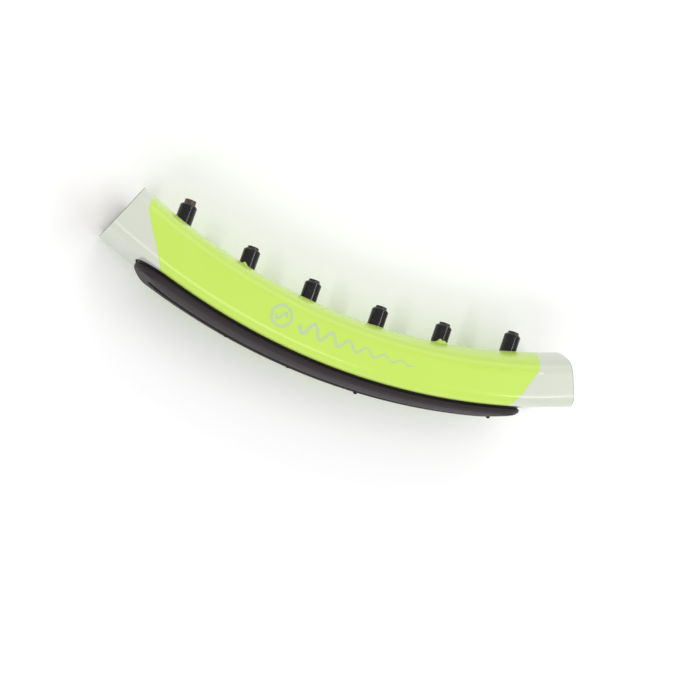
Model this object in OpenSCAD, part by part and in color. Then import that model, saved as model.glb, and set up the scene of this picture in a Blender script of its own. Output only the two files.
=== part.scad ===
// Damping bridge of a racquet throat: a hollow curved bridge with a foam core, a soft damper strip in
// a groove on its throat side, and six cushioned string pins, each lined with a soft sleeve.
// X runs across the racquet, Y along the strings towards the head, Z up from the rear face.
// The origin is on the rear face, at the middle of the bridge's section, on the centre line.

/* [Bridge] */
// Radius of the bridge's centre line
arc_r = 111; // [90:0.5:150]
// Angle of the bridge each side of the centre line
half_angle = 22; // [19:0.5:26]
// Width of the section, from string side to throat side
bridge_w = 10; // [8:0.1:14]
// Depth of the section, from rear face to front face
bridge_d = 17.5; // [15:0.1:26]
// Wall of the moulded shell
wall_t = 1.2; // [0.8:0.1:1.6]
// Radius of the rounded nose on the string side, across the section
nose_r = 15; // [10:0.5:20]
// Radius of the edges where the nose meets the front and rear faces
string_edge_r = 3; // [2:0.1:4]
// Radius of the two edges on the throat side
throat_edge_r = 2.2; // [1.8:0.1:3]

/* [Damper strip] */
// Overall length of the strip, straight across
strip_len = 73.4; // [68:0.2:80]
// Width of the strip
strip_w = 12; // [9:0.1:12.5]
// Depth of the groove that the strip sits in
groove_depth = 3.2; // [3.2:0.1:4]
// How far the strip stands out of the bridge at the rims of its channel
strip_out = 2; // [1.6:0.1:3]
// How far it stands out along its edges
strip_edge_out = 1.25; // [0.8:0.05:1.5]
// Chamfer on those edges
strip_chamfer = 0.3; // [0.1:0.05:0.6]
// Width of the flat rim each side of the channel
rim_w = 0.3; // [0.1:0.05:1]
// Width of the string channel along the strip
channel_w = 1.9; // [1.7:0.1:4]
// Depth of the string channel, below the rims
channel_depth = 1; // [0.5:0.1:1]
// Diameter of the holes through the strip, in the channel
strip_hole_d = 1.7; // [1.6:0.1:2.4]
// How far the string channel runs past the outer strings
channel_past = 2; // [1.5:0.1:3]

/* [String pins] */
// Distance of the inner two strings from the centre line
string_x_1 = 6.5; // [5:0.1:8]
// Distance of the middle two strings from the centre line
string_x_2 = 18.6; // [15:0.1:20]
// Distance of the outer two strings from the centre line
string_x_3 = 31.5; // [28:0.1:33]
// Diameter of a pin's barrel
pin_od = 3; // [2.6:0.1:3.6]
// How far a barrel stands out of the bridge's string side
pin_out = 3.3; // [1:0.1:6]
// Chamfer at a barrel's end
pin_chamfer = 0.3; // [0.1:0.05:0.5]
// Diameter of a pin's head
head_od = 4.2; // [3.8:0.1:4.4]
// Thickness of a pin's head
head_t = 0.6; // [0.5:0.05:0.7]
// Distance a pin floats each way
pin_travel = 0.3; // [0.1:0.05:0.35]

/* [Liners] */
// Outer diameter of a pin's liner
liner_od = 2; // [1.9:0.05:2.2]
// Diameter of the string hole
string_bore = 1.5; // [1.3:0.05:1.6]
// How far a liner stands out of its barrel
liner_out = 0.4; // [0.2:0.1:2]
// Extra length of the first liner, which is cut long
first_liner_extra = 0.4; // [0:0.1:1.5]
// Diameter of the collar at the liner's throat end, let into the pin's head
collar_od = 2.8; // [2.4:0.1:3.4]
// Thickness of that collar
collar_t = 0.3; // [0.2:0.05:0.4]

/* [Cushion pads] */
// Diameter of a cushion pad
pad_od = 4.4; // [4.2:0.1:4.8]
// Thickness of a pad where it is thinnest
pad_t = 0.5; // [0.4:0.05:0.6]

/* [Clearances] */
// Radial gap between a barrel and its holes
pin_gap = 0.1; // [0.05:0.01:0.2]
// Gap between the strip and the sides of its groove
strip_gap = 0.1; // [0.05:0.01:0.3]
// Radial gap between a pad and the pocket under the strip
pocket_gap = 0.1; // [0.1:0.01:0.2]
// Radial gap between a barrel and the hole in its pad
pad_gap = 0.15; // [0.1:0.01:0.3]
// Gap left each side of a pin's head at the end of its travel
head_gap = 0.1; // [0.05:0.01:0.15]

/* [Hidden] */
$fn = 64;
eps = 0.01;
r_in = arc_r - bridge_w / 2;
r_out = arc_r + bridge_w / 2;
r_groove = r_out - groove_depth;
r_rim = r_out + strip_out;
r_channel = r_rim - channel_depth;
mid_z = bridge_d / 2;
reach = 2 * bridge_w;
pin_x = [-string_x_3, -string_x_2, -string_x_1, string_x_1, string_x_2, string_x_3];

// Y of the circle of radius r about the arc's centre, at a distance x from the centre line
function arc_y(r, x) = arc_r - sqrt(r * r - x * x);

// Y of each level along pin n, from the groove's floor outwards, then on the string side
function pad_face(n) = arc_y(r_groove, abs(pin_x[n]) - pad_od / 2) - pad_t;
function head_in(n) = pad_face(n) - pin_travel - head_gap;
function head_face(n) = head_in(n) - head_t;
function pocket_top(n) = head_face(n) - pin_travel - head_gap;
function barrel_end(n) = arc_y(r_in, pin_x[n]) + pin_out;
function liner_end(n) = barrel_end(n) + liner_out + (n == 0 ? first_liner_extra : 0);

// A section drawn in (radius, Z), revolved through the bridge's angle, plus extra degrees at each end
module along_arc(extra = 0) {
    translate([0, arc_r, 0])
        rotate([0, 0, -90])
            rotate_extrude(angle = 2 * (half_angle + extra), start = -half_angle - extra, $fn = 180)
                children();
}

// The D section, shrunk by inset on every side: a wide nose arc on the string side, an arc that turns
// it into each flat face, and a small arc on each throat-side edge
module d_section(inset = 0) {
    nose_c = r_in + nose_r;
    edge_z = mid_z - string_edge_r;
    turn = asin(edge_z / (nose_r - string_edge_r));
    edge_c = nose_c - (nose_r - string_edge_r) * cos(turn);
    e0 = string_edge_r - inset;
    e1 = throat_edge_r - inset;
    nose_z = edge_z + e0 * sin(turn);
    flat_w = r_out - throat_edge_r - edge_c;
    intersection() {
        translate([nose_c, mid_z]) circle(r = nose_r - inset);
        translate([r_in, mid_z - nose_z]) square([edge_c - r_in + flat_w, 2 * nose_z]);
    }
    translate([edge_c, inset]) square([flat_w, bridge_d - 2 * inset]);
    translate([edge_c, throat_edge_r]) square([flat_w + e1, bridge_d - 2 * throat_edge_r]);
    for (side = [-1, 1]) {
        translate([edge_c, mid_z + side * edge_z]) circle(r = e0);
        translate([r_out - throat_edge_r, mid_z + side * (mid_z - throat_edge_r)]) circle(r = e1);
    }
}

// A bar with round ends, length across X and width up Z, as a column along Y
module bar_column(length, width) {
    end_x = (length - width) / 2;
    translate([0, arc_y(r_in, length / 2), mid_z])
        rotate([90, 0, 0])
            linear_extrude(reach + strip_out) {
                translate([-end_x, -width / 2]) square([2 * end_x, width]);
                for (x = [-end_x, end_x])
                    translate([x, 0]) circle(d = width);
            }
}

// Everything outside radius r_from, under such a bar
module bar_block(r_from, length, width) {
    intersection() {
        along_arc() translate([r_from, 0]) square([reach, bridge_d]);
        bar_column(length, width);
    }
}

// The same under the strip's own outline, widened all round by grow
module groove_block(r_from, grow) {
    bar_block(r_from, strip_len + 2 * grow, strip_w + 2 * grow);
}

// A round rod or hole along pin n's axis, from y0 to y1
module rod(n, d, y0, y1) {
    translate([pin_x[n], y0, mid_z]) rotate([-90, 0, 0]) cylinder(h = y1 - y0, d = d);
}

// A cone along pin n's axis, from d0 at y0 to d1 at y1
module cone(n, d0, d1, y0, y1) {
    translate([pin_x[n], y0, mid_z]) rotate([-90, 0, 0]) cylinder(h = y1 - y0, d1 = d0, d2 = d1);
}

module pin_holes(d) {
    for (n = [0 : 5])
        rod(n, d, -reach, reach + bridge_w);
}

module bridge_shell() {
    color("#C9EB69")
        difference() {
            along_arc() d_section();
            difference() {
                along_arc(extra = 1) d_section(wall_t);
                groove_block(r_groove - wall_t, wall_t + strip_gap);
            }
            groove_block(r_groove, strip_gap);
            pin_holes(pin_od + 2 * pin_gap);
        }
}

module foam_core() {
    color("#E8E0C8")
        difference() {
            along_arc() d_section(wall_t);
            groove_block(r_groove - wall_t, wall_t + strip_gap);
            pin_holes(pin_od + 2 * pin_gap);
        }
}

// The strip's section: it rises from a chamfered edge at each side to the rims of the channel
module strip_section() {
    r_edge = r_out + strip_edge_out;
    half_w = strip_w / 2;
    half_rims = channel_w / 2 + rim_w;
    side = [
        [r_groove, half_w], [r_edge - strip_chamfer, half_w],
        [r_edge, half_w - strip_chamfer], [r_rim, half_rims]
    ];
    translate([0, mid_z])
        polygon(concat(side, [for (k = [len(side) - 1 : -1 : 0]) [side[k][0], -side[k][1]]]));
}

module damper_strip() {
    color("#3A3538")
        difference() {
            intersection() {
                along_arc() strip_section();
                bar_column(strip_len, strip_w);
            }
            bar_block(r_channel, 2 * (string_x_3 + channel_past), channel_w);
            pin_holes(strip_hole_d);
            for (n = [0 : 5])
                rod(n, pad_od + 2 * pocket_gap, pocket_top(n), reach);
        }
}

module string_pin(n) {
    color("#1E1A20")
        difference() {
            union() {
                rod(n, head_od, head_face(n), head_in(n));
                rod(n, pin_od, head_face(n), barrel_end(n) - pin_chamfer);
                cone(n, pin_od, pin_od - 2 * pin_chamfer, barrel_end(n) - pin_chamfer - eps, barrel_end(n));
            }
            rod(n, liner_od, -reach, reach + bridge_w);
            rod(n, collar_od, head_face(n) - eps, head_face(n) + collar_t);
        }
}

module pin_liner(n) {
    flare = (liner_od - string_bore) / 2;
    mouth = head_face(n);
    color("#5A3A35")
        difference() {
            union() {
                rod(n, collar_od, mouth, mouth + collar_t);
                rod(n, liner_od, mouth, liner_end(n));
            }
            rod(n, string_bore, -reach, reach + bridge_w);
            cone(n, string_bore + 2 * flare, string_bore, mouth - eps, mouth + flare);
        }
}

module cushion_pad(n) {
    color("#2B2A2E")
        difference() {
            rod(n, pad_od, pad_face(n), arc_y(r_groove, abs(pin_x[n]) + pad_od / 2) + pad_t);
            translate([0, arc_r, 0]) cylinder(h = bridge_d, r = r_groove, $fn = 1440);
            rod(n, pin_od + 2 * pad_gap, -reach, reach);
        }
}

bridge_shell();
foam_core();
damper_strip();
string_pin(0);  // string_pin_1
string_pin(1);  // string_pin_2
string_pin(2);  // string_pin_3
string_pin(3);  // string_pin_4
string_pin(4);  // string_pin_5
string_pin(5);  // string_pin_6
pin_liner(0);  // pin_liner_1
pin_liner(1);  // pin_liner_2
pin_liner(2);  // pin_liner_3
pin_liner(3);  // pin_liner_4
pin_liner(4);  // pin_liner_5
pin_liner(5);  // pin_liner_6
cushion_pad(0);  // cushion_pad_1
cushion_pad(1);  // cushion_pad_2
cushion_pad(2);  // cushion_pad_3
cushion_pad(3);  // cushion_pad_4
cushion_pad(4);  // cushion_pad_5
cushion_pad(5);  // cushion_pad_6
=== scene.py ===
"""A racquet's damping bridge, lying on a pale floor: painted shell, black damper strip and cushioned pins."""

import math

import bmesh
import bpy
from mathutils import Matrix, Vector


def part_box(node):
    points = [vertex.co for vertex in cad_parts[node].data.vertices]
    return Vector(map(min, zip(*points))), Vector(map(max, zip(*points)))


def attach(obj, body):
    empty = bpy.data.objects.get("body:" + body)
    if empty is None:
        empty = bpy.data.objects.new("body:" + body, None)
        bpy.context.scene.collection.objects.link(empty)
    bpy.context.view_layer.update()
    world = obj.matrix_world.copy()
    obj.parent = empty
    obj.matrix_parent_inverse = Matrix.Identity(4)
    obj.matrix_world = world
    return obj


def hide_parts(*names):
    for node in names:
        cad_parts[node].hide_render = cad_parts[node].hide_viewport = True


MM = 0.001

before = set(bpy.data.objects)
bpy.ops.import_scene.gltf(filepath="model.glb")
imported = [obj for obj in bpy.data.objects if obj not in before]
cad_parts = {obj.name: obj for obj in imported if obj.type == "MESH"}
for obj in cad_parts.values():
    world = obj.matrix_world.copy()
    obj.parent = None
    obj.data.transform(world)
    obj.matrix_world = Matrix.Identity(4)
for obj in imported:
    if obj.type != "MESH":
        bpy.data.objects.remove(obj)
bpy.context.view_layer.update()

# ---------------------------------------------------------------- sizes and places

PINS = range(1, 7)
shell_low, shell_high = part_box("bridge_shell")
strip_low, strip_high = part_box("damper_strip")
MID_Z = (shell_low.z + shell_high.z) / 2
HALF_D = shell_high.z - MID_Z

# The arc of the bridge, and its section: a nose arc, an edge arc and a flat front face
ARC_R = 111 * MM
R_IN = 106 * MM
R_OUT = 116 * MM
NOSE_R = 15 * MM
STRING_EDGE_R = 3 * MM
HALF_ANGLE = math.asin(shell_high.x / R_OUT)
NOSE_C = R_IN + NOSE_R
EDGE_Z = HALF_D - STRING_EDGE_R
EDGE_C = NOSE_C - math.sqrt((NOSE_R - STRING_EDGE_R) ** 2 - EDGE_Z ** 2)

# The strip, its channel and its holes
R_RIM = ARC_R - strip_low.y
R_SEAT = 112.8 * MM
R_EDGE = R_OUT + 1.25 * MM
R_CHANNEL = R_RIM - 1 * MM
STRIP_HALF_LEN = strip_high.x
STRIP_HALF_W = strip_high.z - MID_Z
CHANNEL_HALF_W = 0.95 * MM
CHANNEL_PAST = 2 * MM
STRIP_HOLE_R = 0.85 * MM
POCKET_R = 2.3 * MM

# A pin's barrel and its head, which is the widest part of it
PIN_R = 1.5 * MM
PIN_HEAD_R = 2.1 * MM
CHANNEL_HALF_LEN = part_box("string_pin_6")[1].x - PIN_HEAD_R + CHANNEL_PAST

# The printed marks stand this far out of the front face, and reach this far into it
INK_OUT = 0.02 * MM
INK_IN = 0.05 * MM


def pin_x(n):
    low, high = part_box(f"string_pin_{n}")
    return (low.x + high.x) / 2


def arc_y(radius, x):
    """Y at x of the circle of that radius about the arc's centre."""
    return ARC_R - math.sqrt(radius ** 2 - x ** 2)


def on_arc(radius, angle, z):
    """A point at a radius and angle about the arc's centre. The angle grows towards +X."""
    return Vector((radius * math.sin(angle), ARC_R - radius * math.cos(angle), z))


def front_z(radius):
    """Height of the front face at a radius."""
    if radius >= EDGE_C:
        return MID_Z + HALF_D
    return MID_Z + EDGE_Z + math.sqrt(STRING_EDGE_R ** 2 - (EDGE_C - radius) ** 2)


def nose_y(x, z):
    """Y of the string side's surface."""
    radius = NOSE_C - math.sqrt(NOSE_R ** 2 - (z - MID_Z) ** 2)
    return arc_y(radius, x)


# ---------------------------------------------------------------- camera, lights and floor

def aim(thing, target, up):
    """Turns a camera or lamp at thing.location to look at target."""
    back = (thing.location - target).normalized()
    right = up.cross(back).normalized()
    thing.rotation_mode = "QUATERNION"
    thing.rotation_quaternion = Matrix((right, back.cross(right), back)).transposed().to_quaternion()


def add_camera():
    data = bpy.data.cameras.new("camera")
    data.lens = 76.3
    data.clip_start = 0.01
    camera = bpy.data.objects.new("camera", data)
    camera.location = Vector((-60.4, -36.9, 258.2)) * MM
    aim(camera, Vector((3.6, -0.3, 8.8)) * MM, up=Vector((-0.348, 0.936, 0.045)))
    bpy.context.collection.objects.link(camera)
    bpy.context.scene.camera = camera


def add_lamp(name, at, width, height, power):
    """A softbox at that place, facing the object. Width runs across the racquet."""
    data = bpy.data.lights.new(name, "AREA")
    data.shape = "RECTANGLE"
    data.size = width
    data.size_y = height
    data.energy = power
    lamp = bpy.data.objects.new(name, data)
    lamp.location = Vector(at)
    aim(lamp, Vector((0, 0, MID_Z)), up=Vector((0, 0.99, 0.1)))
    bpy.context.collection.objects.link(lamp)


def add_lights():
    add_lamp("barrel_streak", (0.50, 0.05, 0.80), 0.06, 0.9, 3.0)
    add_lamp("throat_edge", (-0.15, -0.74, 0.68), 0.9, 0.34, 3.8)
    add_lamp("head_fill", (0.1, 0.85, 0.42), 1.0, 0.5, 2.3)
    world = bpy.data.worlds.new("studio")
    bpy.context.scene.world = world
    world.use_nodes = True
    background = world.node_tree.nodes["Background"]
    background.inputs["Color"].default_value = (1, 1, 1, 1)
    background.inputs["Strength"].default_value = 0.65
    bpy.context.scene.view_settings.view_transform = "Standard"


def add_floor():
    half = 1.5
    corners = [(-half, -half, 0), (half, -half, 0), (half, half, 0), (-half, half, 0)]
    mesh = bpy.data.meshes.new("floor")
    mesh.from_pydata(corners, [], [(0, 1, 2, 3)])
    floor = bpy.data.objects.new("floor", mesh)
    paper = Surface("floor_paper", (0.93, 0.93, 0.93), 0.9)
    paper.bump(paper.noise(2 * MM), 0.01 * MM)
    mesh.materials.append(paper.material)
    bpy.context.collection.objects.link(floor)


# ---------------------------------------------------------------- procedural materials

class Field:
    """A number that varies over a surface: a shader socket with arithmetic."""

    def __init__(self, tree, socket):
        self.tree = tree
        self.socket = socket

    def math(self, operation, *others, clamp=False):
        node = self.tree.nodes.new("ShaderNodeMath")
        node.operation = operation
        node.use_clamp = clamp
        for k, value in enumerate((self, *others)):
            if isinstance(value, Field):
                self.tree.links.new(value.socket, node.inputs[k])
            else:
                node.inputs[k].default_value = value
        return Field(self.tree, node.outputs[0])

    def __add__(self, other):
        return self.math("ADD", other)

    def __sub__(self, other):
        return self.math("SUBTRACT", other)

    def __rsub__(self, other):
        return (self * -1) + other

    def __mul__(self, other):
        return self.math("MULTIPLY", other)

    def over(self, limit, soft):
        """1 where the field is above limit and 0 below, turning over a width of soft."""
        return ((self - limit) * (1 / soft)).math("ADD", 0.5, clamp=True)

    def under(self, limit, soft):
        return 1 - self.over(limit, soft)


class Surface:
    """One procedural material, in metres and in the object's own coordinates."""

    def __init__(self, name, colour, roughness, **values):
        self.material = bpy.data.materials.new(name)
        self.material.use_nodes = True
        self.tree = self.material.node_tree
        self.shader = self.tree.nodes["Principled BSDF"]
        self.shader.inputs["Base Color"].default_value = (*colour, 1)
        self.shader.inputs["Roughness"].default_value = roughness
        for key, value in values.items():
            self.shader.inputs[key.replace("_", " ").title().replace("Ior", "IOR")].default_value = value
        self.coords = self.tree.nodes.new("ShaderNodeTexCoord").outputs["Object"]

    def place(self):
        """X, Y and Z as fields."""
        node = self.tree.nodes.new("ShaderNodeSeparateXYZ")
        self.tree.links.new(self.coords, node.inputs[0])
        return [Field(self.tree, node.outputs[k]) for k in range(3)]

    def stretched(self, size):
        """Coordinates divided by a size, or by a size each way."""
        node = self.tree.nodes.new("ShaderNodeVectorMath")
        node.operation = "DIVIDE"
        self.tree.links.new(self.coords, node.inputs[0])
        node.inputs[1].default_value = size if isinstance(size, tuple) else (size, size, size)
        return node.outputs[0]

    def noise(self, size, detail=2.0):
        node = self.tree.nodes.new("ShaderNodeTexNoise")
        node.inputs["Scale"].default_value = 1
        node.inputs["Detail"].default_value = detail
        self.tree.links.new(self.stretched(size), node.inputs["Vector"])
        return Field(self.tree, node.outputs["Fac"])

    def cells(self, size):
        """Distance from the nearest of scattered points, in sizes."""
        node = self.tree.nodes.new("ShaderNodeTexVoronoi")
        node.inputs["Scale"].default_value = 1
        self.tree.links.new(self.stretched(size), node.inputs["Vector"])
        return Field(self.tree, node.outputs["Distance"])

    def mix(self, share, colour_a, colour_b):
        """Colour a where share is 0 and b where it is 1. A colour is a tuple or an earlier mix."""
        node = self.tree.nodes.new("ShaderNodeMix")
        node.data_type = "RGBA"
        self.tree.links.new(share.socket, node.inputs["Factor"])
        for socket, colour in zip((node.inputs[6], node.inputs[7]), (colour_a, colour_b)):
            if isinstance(colour, tuple):
                socket.default_value = (*colour, 1)
            else:
                self.tree.links.new(colour, socket)
        return node.outputs[2]

    def colour(self, socket):
        self.tree.links.new(socket, self.shader.inputs["Base Color"])

    def roughness(self, field):
        self.tree.links.new(field.socket, self.shader.inputs["Roughness"])

    def bump(self, height, depth):
        """Raises the surface by depth metres where the height field is 1."""
        node = self.tree.nodes.new("ShaderNodeBump")
        node.inputs["Distance"].default_value = depth
        self.tree.links.new(height.socket, node.inputs["Height"])
        self.tree.links.new(node.outputs["Normal"], self.shader.inputs["Normal"])


LIME = (0.508, 0.708, 0.108)
LIME_DEEP = (0.484, 0.684, 0.092)
BASE_COAT = (0.590, 0.618, 0.530)
BASE_COAT_DEEP = (0.555, 0.586, 0.498)
LAMINATE = (0.035, 0.036, 0.038)
LAMINATE_PALE = (0.11, 0.11, 0.11)
INK = (0.43, 0.56, 0.30)


def polar(surface):
    """X, the radius and angle about the arc's centre, and Z from the middle, as fields."""
    x, y, z = surface.place()
    inward = ARC_R - y
    radius = (x * x + inward * inward).math("SQRT")
    return x, radius, x.math("ARCTAN2", inward), z - MID_Z


def lime_share(surface, radius, angle, z):
    """1 inside the two masked edges of the lime coat. Each edge runs out towards its end round the nose
    and leans in towards the middle on the throat side. The mask was laid a little to the left."""
    past = (radius - 109.4 * MM).math("SMOOTH_MAX", 0.0, 1.0 * MM) * (1 / MM)
    round_nose = HALF_D - (z * z + (3 * MM) ** 2).math("SQRT")
    nose = round_nose * radius.under(112 * MM, 2 * MM) * (1 / MM)
    wobble = (surface.noise(1.5 * MM) - 0.5) * math.radians(0.06)
    left = angle + wobble - past * math.radians(0.63) + nose * math.radians(0.05) + math.radians(20.75)
    right = wobble - angle - past * math.radians(0.41) + nose * math.radians(0.18) + math.radians(18.85)
    return left.math("MINIMUM", right).over(0, math.radians(0.04))


def bare_and_gap_shade_share(x, radius, angle, z):
    """1 where the moulded laminate shows: the cut ends, the groove and the pin holes. Along the strip, the
    groove's dark wall is also painted shade in the gap between bridge and strip.
    """
    ends = angle.math("ABSOLUTE").over(HALF_ANGLE - 0.0006, 0.0004)
    # The groove's dark laminate reaches 0.12 mm past the strip: painted shade in the gap along the strip's
    # edge.
    groove_and_gap_shade = radius.over(R_SEAT - 0.3 * MM, 0.1 * MM) * radius.under(R_OUT - 0.25 * MM, 0.1 * MM)
    groove_and_gap_shade = groove_and_gap_shade * z.math("ABSOLUTE").under(STRIP_HALF_W + 0.12 * MM, 0.05 * MM)
    bare_and_gap_shade = ends.math("MAXIMUM", groove_and_gap_shade)
    for n in PINS:
        aside = x - pin_x(n)
        away = (aside * aside + z * z).math("SQRT")
        bare_and_gap_shade = bare_and_gap_shade.math("MAXIMUM", away.under(PIN_R + 0.13 * MM, 0.03 * MM))
    return bare_and_gap_shade


def shell_paint():
    """Satin lime over a pale grey-green base coat, with orange peel, faint scratches and a few specks."""
    paint = Surface("shell_paint", LIME, 0.42, specular_ior_level=0.22, coat_weight=0.5, coat_roughness=0.14)
    x, radius, angle, z = polar(paint)
    lime = lime_share(paint, radius, angle, z)
    bare_and_gap_shade = bare_and_gap_shade_share(x, radius, angle, z)
    drift = paint.noise(9 * MM, detail=3)
    coats = paint.mix(
        lime,
        paint.mix(drift, BASE_COAT_DEEP, BASE_COAT),
        paint.mix(drift, LIME_DEEP, LIME))
    specks = paint.cells(7 * MM).under(0.016, 0.006)
    coats = paint.mix(specks * 0.5, coats, (0.10, 0.11, 0.05))
    plies = paint.noise((40 * MM, 0.12 * MM, 0.12 * MM))
    laminate = paint.mix(plies, LAMINATE, LAMINATE_PALE)
    # Dark laminate where the mask is 1, which along the strip is also painted shade in the gap.
    paint.colour(paint.mix(bare_and_gap_shade, coats, laminate))
    scratches = paint.noise((12 * MM, 0.10 * MM, 0.10 * MM), detail=1).over(0.70, 0.03)
    paint.roughness((drift * 0.08) + (scratches * 0.06) + (bare_and_gap_shade * 0.3) + 0.36)
    peel = paint.noise(0.7 * MM, detail=1) * 0.10
    paint.bump(peel + lime - (bare_and_gap_shade * plies * 0.5), 0.03 * MM)
    return paint.material


def collar_paint():
    """The lime that crept up round each barrel, in the coat's two tones but glossier."""
    paint = Surface("collar_paint", LIME, 0.42, specular_ior_level=0.22, coat_weight=0.5, coat_roughness=0.14)
    drift = paint.noise(1.2 * MM)
    paint.colour(paint.mix(drift, LIME_DEEP, LIME))
    paint.roughness((drift * 0.12) + 0.28)
    paint.bump(paint.noise(0.4 * MM), 0.01 * MM)
    return paint.material


def mark_ink():
    """Thin matt screen-print ink, slightly broken where the mesh left pinholes."""
    ink = Surface("mark_ink", INK, 0.55)
    pinholes = ink.noise(0.16 * MM, detail=1).over(0.66, 0.04)
    ink.colour(ink.mix(pinholes * 0.6, INK, LIME))
    ink.roughness((pinholes * -0.15) + 0.55)
    ink.bump(ink.noise(0.12 * MM), 0.003 * MM)
    return ink.material


def core_foam():
    """Cream closed-cell foam, sawn where the ends are cut."""
    foam = Surface("core_foam", (0.72, 0.62, 0.42), 0.95)
    cells = foam.cells(0.28 * MM)
    patch = foam.noise(3 * MM)
    tone = foam.mix(patch, (0.66, 0.56, 0.36), (0.76, 0.67, 0.48))
    foam.colour(foam.mix(cells.over(0.55, 0.3) * 0.5, tone, (0.45, 0.36, 0.21)))
    foam.roughness((patch * 0.08) + 0.88)
    foam.bump(cells, 0.06 * MM)
    return foam.material


def strip_rubber():
    """Black elastomer, satin, with a fine moulded grain, paler where it was handled."""
    rubber = Surface("strip_rubber", (0.030, 0.024, 0.028), 0.48, specular_ior_level=0.08)
    drift = rubber.noise(5 * MM, detail=3)
    smear = rubber.noise((6 * MM, 0.7 * MM, 0.7 * MM), detail=2).over(0.60, 0.20)
    tone = rubber.mix(drift, (0.024, 0.019, 0.022), (0.037, 0.029, 0.033))
    rubber.colour(rubber.mix(smear * 0.2, tone, (0.050, 0.041, 0.045)))
    rubber.roughness((drift * 0.12) + (smear * 0.08) + 0.40)
    rubber.bump(rubber.noise(0.09 * MM, detail=1), 0.004 * MM)
    return rubber.material


def pin_plastic():
    """Glossy black nylon, with faint draw marks along the barrel and small scuffs."""
    nylon = Surface("pin_plastic", (0.010, 0.008, 0.010), 0.16, specular_ior_level=0.34)
    draw = nylon.noise((0.12 * MM, 4 * MM, 0.12 * MM), detail=1)
    scuff = nylon.noise(0.9 * MM, detail=3).over(0.62, 0.10)
    tone = nylon.mix(draw, (0.006, 0.005, 0.007), (0.014, 0.011, 0.013))
    nylon.colour(nylon.mix(scuff * 0.4, tone, (0.032, 0.028, 0.031)))
    nylon.roughness((scuff * 0.14) + (draw * 0.04) + 0.13)
    nylon.bump(draw + (scuff * 0.4), 0.004 * MM)
    return nylon.material


def liner_plastic(name, pale, deep):
    """Smoky tube, slightly clear, clouded in bands where it was drawn."""
    tube = Surface(name, pale, 0.3, transmission_weight=0.25, ior=1.5)
    cloud = tube.noise((0.5 * MM, 1.4 * MM, 0.5 * MM))
    tube.colour(tube.mix(cloud, deep, pale))
    tube.roughness((cloud * 0.15) + 0.24)
    tube.bump(tube.noise(0.2 * MM), 0.005 * MM)
    return tube.material


def pad_rubber():
    """Soft matt elastomer with a skin of fine grain."""
    pad = Surface("pad_rubber", (0.03, 0.03, 0.034), 0.7)
    drift = pad.noise(1 * MM)
    pad.colour(pad.mix(drift, (0.024, 0.024, 0.028), (0.045, 0.044, 0.048)))
    pad.roughness((drift * 0.15) + 0.6)
    pad.bump(pad.noise(0.1 * MM), 0.006 * MM)
    return pad.material


# ---------------------------------------------------------------- meshes

SHARP_ANGLE = math.radians(38)


def shade(mesh):
    """Smooth shading, with edges sharper than SHARP_ANGLE kept sharp."""
    for polygon in mesh.polygons:
        polygon.use_smooth = True
    mesh.set_sharp_from_angle(angle=SHARP_ANGLE)


def new_piece(name, mesh, material):
    """A shaded piece that rides on the bridge."""
    shade(mesh)
    mesh.materials.append(material)
    piece = bpy.data.objects.new(name, mesh)
    bpy.context.collection.objects.link(piece)
    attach(piece, "bridge")
    return piece


def one_face(mesh, ring):
    mesh.faces.new(ring)


def skin(rings, cover=one_face):
    """Faces between neighbouring closed rings of points, with a cover over the first and the last."""
    mesh = bmesh.new()
    rows = [[mesh.verts.new(p) for p in ring] for ring in rings]
    count = len(rings[0])
    for a, b in zip(rows, rows[1:]):
        for k in range(count):
            mesh.faces.new((a[k], a[(k + 1) % count], b[(k + 1) % count], b[k]))
    if cover:
        cover(mesh, rows[0])
        cover(mesh, rows[-1])
    return mesh


def to_mesh(name, built):
    bmesh.ops.recalc_face_normals(built, faces=built.faces)
    mesh = bpy.data.meshes.new(name)
    built.to_mesh(mesh)
    built.free()
    return mesh


# Points along each straight side of a bar's outline, and round each end
STRAIGHT = 110
ROUND_END = 28


def bar_outline(half_len, half_w):
    """Points round a bar with round ends, as (x, height above the middle)."""
    end = half_len - half_w
    points = [Vector((-end + 2 * end * k / STRAIGHT, -half_w)) for k in range(STRAIGHT)]
    for side, start in ((1, -90), (-1, 90)):
        for k in range(ROUND_END):
            turn = math.radians(start + 180 * k / ROUND_END)
            points.append(Vector((side * end, 0)) + half_w * Vector((math.cos(turn), math.sin(turn))))
        if side == 1:
            points += [Vector((end - 2 * end * k / STRAIGHT, half_w)) for k in range(STRAIGHT)]
    return points


def close_bar(mesh, ring):
    """Covers a ring laid out by bar_outline: rungs across its straight part, and a face over each end."""
    near = ring[:STRAIGHT + 1]
    far = ring[STRAIGHT + ROUND_END:2 * STRAIGHT + ROUND_END + 1][::-1]
    for k in range(STRAIGHT):
        mesh.faces.new((near[k], near[k + 1], far[k + 1], far[k]))
    mesh.faces.new(ring[STRAIGHT:STRAIGHT + ROUND_END + 1])
    mesh.faces.new(ring[2 * STRAIGHT + ROUND_END:] + ring[:1])


def rim_radius(x, height):
    """Radius of the strip's outer skin: highest beside the channel, lower at the edges and at both ends."""
    from_edge = min(STRIP_HALF_W - abs(height), (STRIP_HALF_LEN - abs(x)) * 0.7)
    rise = from_edge / (STRIP_HALF_W - CHANNEL_HALF_W)
    rise = min(max(rise, 0), 1)
    return R_EDGE + (R_RIM - R_EDGE) * math.sin(math.pi / 2 * rise ** 0.85)


def strip_ring(outline, radius_at):
    """An outline laid on the bridge's arc, at the radius that radius_at gives for each point."""
    return [Vector((p.x, arc_y(radius_at(p.x, p.y), p.x), MID_Z + p.y)) for p in outline]


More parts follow.
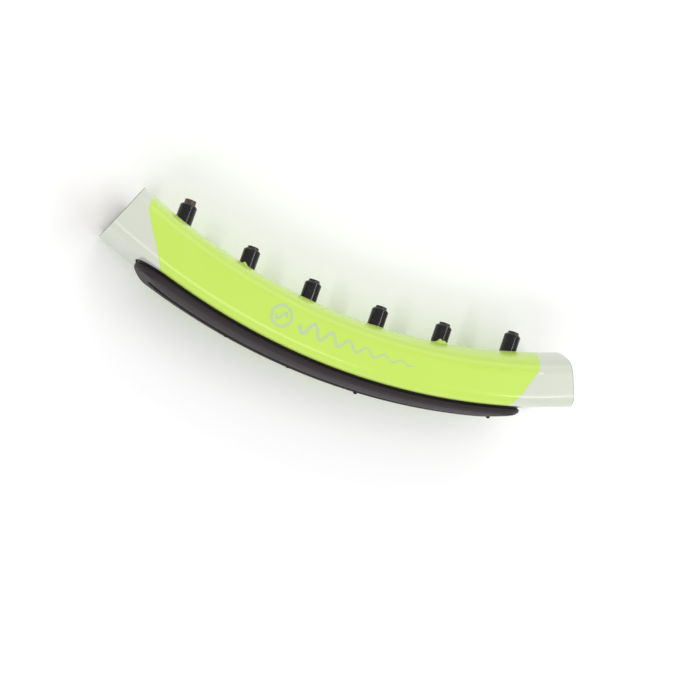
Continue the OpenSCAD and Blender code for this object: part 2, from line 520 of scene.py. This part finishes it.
def strip_body():
    """The strip without holes: underside, recessed neck, lip, outer skin and string channel."""
    def ring(inset, radius_at):
        outline = bar_outline(STRIP_HALF_LEN - inset * MM, STRIP_HALF_W - inset * MM)
        return strip_ring(outline, radius_at)

    rings = [ring(0.02, lambda x, h: R_SEAT + 0.01 * MM)]
    # The neck leaves a dark line between the bridge and the lip
    for inset, out in ((0.02, -0.35), (0.10, -0.15), (0.34, -0.05), (0.42, 0.10), (0.38, 0.30), (0.16, 0.42),
                       (0.04, 0.50), (0.0, 0.60), (0.0, 0.85), (0.02, 0.98), (0.10, 1.12), (0.24, 1.20)):
        rings.append(ring(inset, lambda x, h, r=R_OUT + out * MM: r))
    # A shallow crease parts the lip from the skin
    for inset, sink in ((0.40, 0.07), (0.52, 0.09), (0.66, 0.02)):
        rings.append(ring(inset, lambda x, h, d=sink * MM: rim_radius(x, h) - d))
    inner = bar_outline(CHANNEL_HALF_LEN + 0.25 * MM, CHANNEL_HALF_W + 0.25 * MM)
    outer = bar_outline(STRIP_HALF_LEN - 0.66 * MM, STRIP_HALF_W - 0.66 * MM)
    for share in (0.10, 0.22, 0.36, 0.50, 0.64, 0.78, 0.90, 1.0):
        outline = [a.lerp(b, share) for a, b in zip(outer, inner)]
        rings.append(strip_ring(outline, rim_radius))
    # The rim rolls into the channel
    for turn in (25, 50, 75, 90):
        out = 0.25 * MM * (1 - math.sin(math.radians(turn)))
        drop = 0.25 * MM * (1 - math.cos(math.radians(turn)))
        outline = bar_outline(CHANNEL_HALF_LEN + out, CHANNEL_HALF_W + out)
        rings.append(strip_ring(outline, lambda x, h, d=drop: rim_radius(x, h) - d))
    for inset, up in ((0.0, 0.30), (0.08, 0.12), (0.28, 0.02), (0.6, 0.0)):
        outline = bar_outline(CHANNEL_HALF_LEN - inset * MM, CHANNEL_HALF_W - inset * MM)
        rings.append(strip_ring(outline, lambda x, h, r=R_CHANNEL + up * MM: r))
    return skin(rings, close_bar)


def cut_away(piece, cutter_mesh):
    """Cuts a closed mesh out of a piece, and keeps the result as the piece's own mesh."""
    cutter = bpy.data.objects.new("cutter", cutter_mesh)
    bpy.context.collection.objects.link(cutter)
    cut = piece.modifiers.new("cut", "BOOLEAN")
    cut.operation = "DIFFERENCE"
    cut.solver = "EXACT"
    cut.object = cutter
    evaluated = piece.evaluated_get(bpy.context.evaluated_depsgraph_get())
    mesh = bpy.data.meshes.new_from_object(evaluated)
    piece.modifiers.clear()
    piece.data = mesh
    bpy.data.objects.remove(cutter)


def lathe_along_y(profile, x, z, steps=48):
    """A closed solid of revolution about an axis along Y, from (radius, y) points."""
    rings = []
    for radius, y in profile:
        turns = [2 * math.pi * k / steps for k in range(steps)]
        rings.append([Vector((x + radius * math.cos(t), y, z + radius * math.sin(t))) for t in turns])
    return skin(rings)


def gather(parts):
    """Several bmeshes as one."""
    whole = bmesh.new()
    for part in parts:
        mesh = to_mesh("part", part)
        whole.from_mesh(mesh)
        bpy.data.meshes.remove(mesh)
    return whole


def strip_cutter():
    """The string holes, and the pockets underneath that hold the pins' heads and pads."""
    parts = []
    for n in PINS:
        low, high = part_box(f"string_pin_{n}")
        x = pin_x(n)
        pocket_y = low.y - 0.4 * MM
        far_y = arc_y(R_SEAT, abs(x) + POCKET_R) + 1 * MM
        out_y = arc_y(R_RIM, x) - 1 * MM
        flare_y = arc_y(R_CHANNEL, x)
        profile = [
            (STRIP_HOLE_R + 0.2 * MM, out_y), (STRIP_HOLE_R + 0.2 * MM, flare_y),
            (STRIP_HOLE_R, flare_y + 0.25 * MM), (STRIP_HOLE_R, pocket_y),
            (POCKET_R, pocket_y), (POCKET_R, far_y)]
        parts.append(lathe_along_y(profile, x, MID_Z))
    return to_mesh("strip_cutter", gather(parts))


def make_strip(material):
    """The moulded strip, which stands in for the CAD's plain one."""
    piece = new_piece("strip_moulding", to_mesh("strip_moulding", strip_body()), material)
    cut_away(piece, strip_cutter())
    shade(piece.data)
    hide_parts("damper_strip")


def make_gate_pips(material):
    """Nubs left by the mould's gates on the rear rim of the strip, next to four of the pins."""
    parts = []
    for n, tall in ((2, 0.14), (3, 0.14), (4, 0.34), (6, 0.34)):
        x = pin_x(n) + 0.9 * MM
        height = -CHANNEL_HALF_W - 0.6 * MM
        root = arc_y(rim_radius(x, height), x)
        tall *= MM
        profile = [
            (0.36 * MM, root + 0.3 * MM), (0.36 * MM, root - 0.35 * tall),
            (0.30 * MM, root - 0.75 * tall), (0.14 * MM, root - tall)]
        parts.append(lathe_along_y(profile, x, MID_Z + height, steps=20))
    new_piece("gate_pips", to_mesh("gate_pips", gather(parts)), material)


def run_share(lift):
    """How much of a paint run a line of the fillet takes: all at its top and none at its foot."""
    if lift > 0.05:
        return 1
    if lift > 0.01:
        return 0.4
    return 0


def make_paint_collars(material):
    """A hair-thin fillet of paint on the bridge round each barrel, with a run of paint up two of them."""
    fillet = ((0.02, -0.15), (0.02, 0.07), (0.06, 0.03), (0.14, 0.005), (0.22, -0.002), (0.22, -0.15))
    runs = {2: ((118, 16, 0.42),), 5: ((104, 15, 0.62), (70, 20, 0.40))}
    parts = []
    steps = 120
    for n in PINS:
        rings = []
        for reach, lift in fillet:
            ring = []
            for k in range(steps):
                degrees = 360 * k / steps
                run = sum(tall * math.exp(-((degrees - at) / wide) ** 2) for at, wide, tall in runs.get(n, ()))
                out = PIN_R + (reach + (0.35 * run if reach > 0.1 else 0.1 * run)) * MM
                x = pin_x(n) + out * math.cos(math.radians(degrees))
                z = MID_Z + out * math.sin(math.radians(degrees))
                rise = lift * MM + run_share(lift) * run * MM
                ring.append(Vector((x, nose_y(x, z) + rise, z)))
            rings.append(ring)
        parts.append(skin(rings + rings[:1], cover=None))
    built = gather(parts)
    bmesh.ops.remove_doubles(built, verts=built.verts, dist=1e-7)
    new_piece("paint_collars", to_mesh("paint_collars", built), material)


def ink_line(points, widths):
    """A flat line of ink on the front face, through (radius, angle) points."""
    rings = []
    for k, (radius, angle) in enumerate(points):
        before, after = points[max(k - 1, 0)], points[min(k + 1, len(points) - 1)]
        run = Vector(((after[1] - before[1]) * radius, after[0] - before[0])).normalized()
        side = Vector((-run.y, run.x)) * widths[k] / 2
        ring = []
        for way, lift in ((1, -1), (1, 1), (-1, 1), (-1, -1)):
            r = radius + way * side.y
            a = angle + way * side.x / radius
            ring.append(on_arc(r, a, front_z(r) + (INK_OUT if lift > 0 else -INK_IN)))
        rings.append(ring)
    return skin(rings)


def ink_ring(centre_radius, centre_angle, size, width):
    """A closed ring of ink."""
    steps = 64
    rings = []
    for k in range(steps):
        turn = 2 * math.pi * k / steps
        ring = []
        for half, lift in ((-0.5, -1), (-0.5, 1), (0.5, 1), (0.5, -1)):
            out = size / 2 + half * width
            r = centre_radius + out * math.sin(turn)
            a = centre_angle + out * math.cos(turn) / centre_radius
            ring.append(on_arc(r, a, front_z(r) + (INK_OUT if lift > 0 else -INK_IN)))
        rings.append(ring)
    built = skin(rings + rings[:1], cover=None)
    bmesh.ops.remove_doubles(built, verts=built.verts, dist=1e-7)
    return built


def wave_points(start, end, crest_a, crest_b, waves, radius, steps):
    """(radius, angle) points of a wave that dies away between two distances along the arc."""
    points = []
    for k in range(steps + 1):
        t = k / steps
        crest = crest_a + (crest_b - crest_a) * t
        along = start + (end - start) * t
        points.append((radius + crest * math.sin(2 * math.pi * waves * t), along / radius))
    return points


def make_printed_mark(material):
    """A ring with a pulse in it, then a wave that dies away from a bold line to a fine one."""
    radius = 111.9 * MM
    parts = [ink_ring(radius, -11.7 * MM / radius, 3.5 * MM, 0.50 * MM)]
    pulse = wave_points(-12.7 * MM, -10.7 * MM, 0.75 * MM, 0.75 * MM, 1, radius, 24)
    parts.append(ink_line(pulse, [0.42 * MM] * len(pulse)))
    steps = 260
    wave = wave_points(-8.2 * MM, 13.2 * MM, 1.25 * MM, 0.20 * MM, 6.5, radius, steps)
    widths = [(0.62 - 0.42 * k / steps) * MM for k in range(steps + 1)]
    parts.append(ink_line(wave, widths))
    new_piece("printed_mark", to_mesh("printed_mark", gather(parts)), material)


# ---------------------------------------------------------------- the scene

def dress_cad_nodes():
    """Gives each CAD node that stays its material."""
    black = liner_plastic("liner_smoke", (0.040, 0.024, 0.022), (0.020, 0.013, 0.013))
    # Pin 1's liner gets a paler brown copy of the smoky tube: painted light shining through its wall.
    painted_backlit_brown = liner_plastic("liner_painted_backlight", (0.150, 0.070, 0.050), (0.070, 0.034, 0.027))
    materials = {"bridge_shell": shell_paint(), "foam_core": core_foam()}
    nylon = pin_plastic()
    pad = pad_rubber()
    for n in PINS:
        materials[f"string_pin_{n}"] = nylon
        # Pin 1 takes the paler brown copy, which is painted light through the tube's wall.
        materials[f"pin_liner_{n}"] = painted_backlit_brown if n == 1 else black
        materials[f"cushion_pad_{n}"] = pad
    for name, material in materials.items():
        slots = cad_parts[name].data.materials
        slots.clear()
        slots.append(material)


add_camera()
add_lights()
add_floor()
dress_cad_nodes()
rubber = strip_rubber()
make_strip(rubber)
make_gate_pips(rubber)
make_paint_collars(collar_paint())
make_printed_mark(mark_ink())
